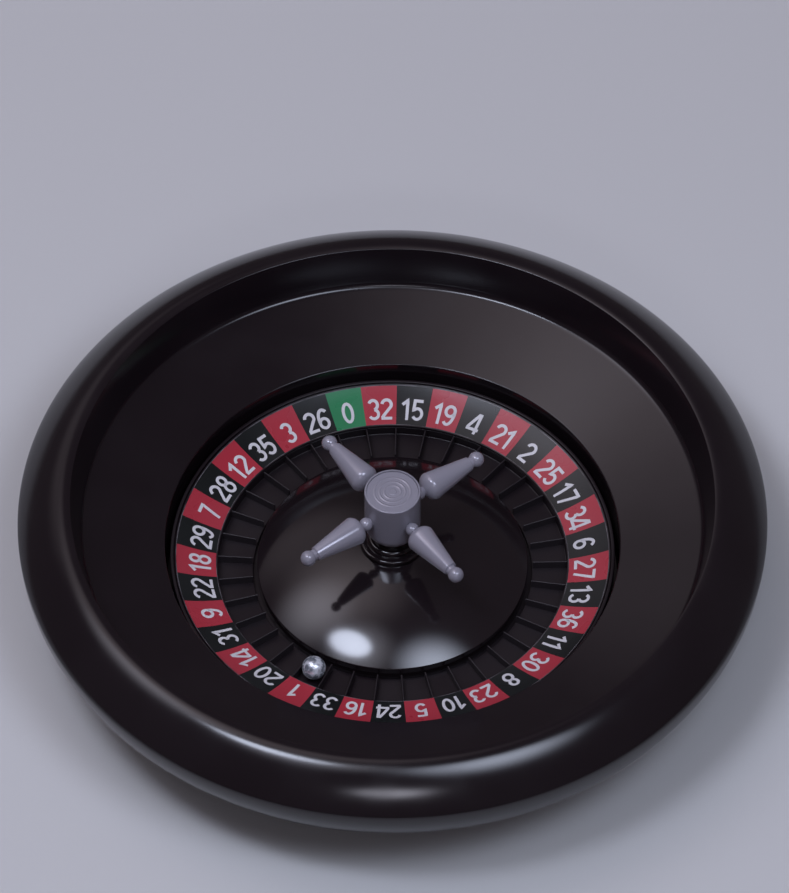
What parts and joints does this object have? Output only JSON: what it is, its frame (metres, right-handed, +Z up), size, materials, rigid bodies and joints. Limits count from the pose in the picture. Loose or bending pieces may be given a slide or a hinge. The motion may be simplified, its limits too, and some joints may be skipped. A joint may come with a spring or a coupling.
{
  "type": "roulette wheel",
  "caption": "Table-top roulette wheel: a glossy bowl with a turning rotor that carries a numbered ring, pockets, a dome and a turret with ball-tipped spokes, and a loose ball.",
  "frame": {"origin": "on the table, under the spindle's axis", "axes": "+Z up along the spindle, -Y towards the person who looks at the picture's front, +X to the right"},
  "size_m": [0.25, 0.25, 0.0545],
  "materials": {
    "black_gloss": "polished black moulding",
    "black_plain": "plain black moulding",
    "silver_plastic": "silver-grey satin moulding",
    "ring_print": "printed red, black and green sectors with white numbers",
    "steel": "plain steel",
    "polished_steel": "polished ball",
    "brass": "turned brass",
    "nylon": "natural nylon",
    "rubber": "moulded rubber"
  },
  "bodies": {
    "bowl": {"bowl_shell": "black_gloss", "base_cover": "black_plain", "base_screw_1": "steel", "base_screw_2": "steel", "base_screw_3": "steel", "base_screw_4": "steel", "base_screw_5": "steel", "base_screw_6": "steel", "foot_1": "rubber", "foot_2": "rubber", "foot_3": "rubber", "foot_4": "rubber", "spindle": "steel", "thrust_washer": "nylon", "retaining_washer": "steel", "spindle_screw": "steel"},
    "rotor": {"bearing_bush": "brass", "rotor_pan": "black_gloss", "pocket_ring": "black_gloss", "number_ring": "ring_print", "centre_dome": "black_gloss", "dome_screw_1": "steel", "dome_screw_2": "steel", "dome_screw_3": "steel", "turret_collar": "black_gloss", "turret_hub": "silver_plastic", "hub_cap": "silver_plastic", "spoke_1": "silver_plastic", "spoke_2": "silver_plastic", "spoke_3": "silver_plastic", "spoke_4": "silver_plastic", "turret_screw": "steel", "turret_nut": "steel"},
    "ball": {"ball": "polished_steel"}
  },
  "joints": [
    {"name": "rotor_spin", "type": "hinge", "parent": "bowl", "child": "rotor", "pos_m": [0, 0, 0.0088], "axis": [0, 0, 1], "continuous": true},
    {"name": "ball_lift", "type": "slide", "parent": "rotor", "child": "ball", "axis": [0, 0, 1], "range_m": [0, 0.06]}
  ]
}
